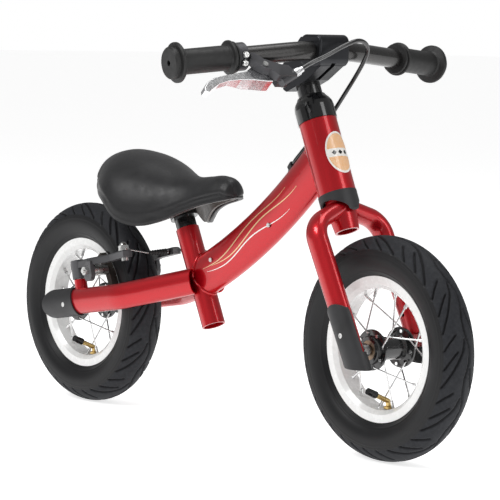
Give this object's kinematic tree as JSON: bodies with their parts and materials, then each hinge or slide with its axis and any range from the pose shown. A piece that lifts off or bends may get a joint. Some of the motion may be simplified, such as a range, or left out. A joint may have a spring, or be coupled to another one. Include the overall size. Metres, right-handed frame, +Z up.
{
  "type": "balance bike",
  "caption": "Child's balance bike with a curved single-tube frame, spoked pneumatic wheels, padded adjustable saddle and a hand-lever rear rim brake.",
  "frame": {"origin": "on the ground, midway between the two axles, in the bike's middle plane", "axes": "+X forward, +Y to the rider's left, +Z up"},
  "size_m": [0.7968, 0.4168, 0.474],
  "materials": {
    "red_paint": "clear-coated metallic candy red on steel tube",
    "grey_plastic": "fine-grained moulded plastic",
    "base_plastic": "plain moulded plastic",
    "gloss_black": "polished moulded plastic",
    "cable_jacket": "smooth extruded jacket over a steel coil",
    "zinc_steel": "bright zinc plate",
    "spoke_steel": "drawn bright wire",
    "bright_alloy": "polished",
    "stem_alloy": "satin dark grey anodised",
    "black_alloy": "satin black, lightly textured",
    "hub_black": "gloss black anodised",
    "black_steel": "satin dark paint",
    "white_rim": "gloss white enamel",
    "tyre_rubber": "moulded tread with smooth walls",
    "tube_rubber": "smooth",
    "grip_rubber": "matt moulded",
    "pad_rubber": "matt moulded",
    "saddle_cover": "smooth black coated cloth over foam"
  },
  "bodies": {
    "frame": {"main_tube": "red_paint", "seat_tube": "red_paint", "head_tube": "red_paint", "chainstay_right": "red_paint", "chainstay_left": "red_paint", "rear_end_cap_right": "grey_plastic", "rear_end_cap_left": "grey_plastic", "frame_screws": "zinc_steel", "head_bearings": "gloss_black", "steering_collar": "grey_plastic", "cable_clips": "gloss_black", "brake_cable_rear": "cable_jacket", "rear_axle": "zinc_steel"},
    "fork": {"fork_steerer": "red_paint", "fork_leg_right": "red_paint", "fork_leg_left": "red_paint", "fork_cover_right": "grey_plastic", "fork_cover_left": "grey_plastic", "fork_cover_screws": "zinc_steel", "headset_cap": "gloss_black", "front_axle": "zinc_steel", "brake_cable_mid": "cable_jacket"},
    "handlebar": {"stem": "stem_alloy", "stem_post": "black_steel", "stem_bolts": "zinc_steel", "handlebar_tube": "black_steel", "grip_right": "grip_rubber", "grip_left": "grip_rubber", "lever_bracket": "black_alloy", "lever_screws": "zinc_steel", "barrel_adjuster": "bright_alloy", "brake_cable_upper": "cable_jacket"},
    "brake_lever": {"brake_lever": "bright_alloy"},
    "front_wheel": {"front_tyre": "tyre_rubber", "front_rim": "white_rim", "front_spokes": "spoke_steel", "front_hub": "hub_black", "front_bearings": "zinc_steel", "front_inner_tube": "tube_rubber", "front_valve_cap": "gloss_black"},
    "rear_wheel": {"rear_tyre": "tyre_rubber", "rear_rim": "white_rim", "rear_spokes": "spoke_steel", "rear_hub": "hub_black", "rear_bearings": "zinc_steel", "rear_inner_tube": "tube_rubber", "rear_valve_cap": "gloss_black"},
    "seat": {"saddle_pad": "saddle_cover", "saddle_base": "base_plastic", "saddle_bracket": "black_steel", "seatpost": "black_steel"},
    "brake_arm_right": {"brake_arm_right": "black_alloy", "brake_pad_right": "pad_rubber", "pad_post_right": "zinc_steel", "cable_anchor": "zinc_steel"},
    "brake_arm_left": {"brake_arm_left": "black_alloy", "brake_pad_left": "pad_rubber", "pad_post_left": "zinc_steel", "brake_noodle": "bright_alloy", "brake_boot": "grip_rubber"}
  },
  "joints": [
    {"name": "steering", "type": "hinge", "parent": "frame", "child": "fork", "pos_m": [0.185, 0, 0.2938], "axis": [-0.4035, 0, 0.915], "range_deg": [-21, 21], "deforming": ["brake_cable_mid"]},
    {"name": "handlebar_slide", "type": "slide", "parent": "fork", "child": "handlebar", "axis": [-0.4035, 0, 0.915], "range_m": [0, 0.025], "deforming": ["brake_cable_upper"]},
    {"name": "lever_pivot", "type": "hinge", "parent": "handlebar", "child": "brake_lever", "pos_m": [0.16409, -0.103, 0.43006], "axis": [-0.7071, 0, -0.7071], "range_deg": [0, 14], "stiffness_Nm_per_rad": 1.5},
    {"name": "front_spin", "type": "hinge", "parent": "fork", "child": "front_wheel", "pos_m": [0.2715, 0, 0.127], "axis": [0, 1, 0], "continuous": true},
    {"name": "rear_spin", "type": "hinge", "parent": "frame", "child": "rear_wheel", "pos_m": [-0.2715, 0, 0.127], "axis": [0, 1, 0], "continuous": true},
    {"name": "seat_slide", "type": "slide", "parent": "frame", "child": "seat", "axis": [-0.4279, 0, 0.9038], "range_m": [0, 0.06]},
    {"name": "brake_right_pivot", "type": "hinge", "parent": "frame", "child": "brake_arm_right", "pos_m": [-0.2335, -0.046, 0.15], "axis": [-0.2419, 0, 0.9703], "range_deg": [0, 5.2]},
    {"name": "brake_left_pivot", "type": "hinge", "parent": "frame", "child": "brake_arm_left", "pos_m": [-0.2335, 0.046, 0.15], "axis": [-0.2419, 0, 0.9703], "range_deg": [-5.2, 0], "deforming": ["brake_boot", "brake_cable_rear"]}
  ],
  "couplings": [
    {"joint": "brake_right_pivot", "follows": "lever_pivot", "ratio": 0.37143},
    {"joint": "brake_left_pivot", "follows": "lever_pivot", "ratio": -0.37143}
  ]
}
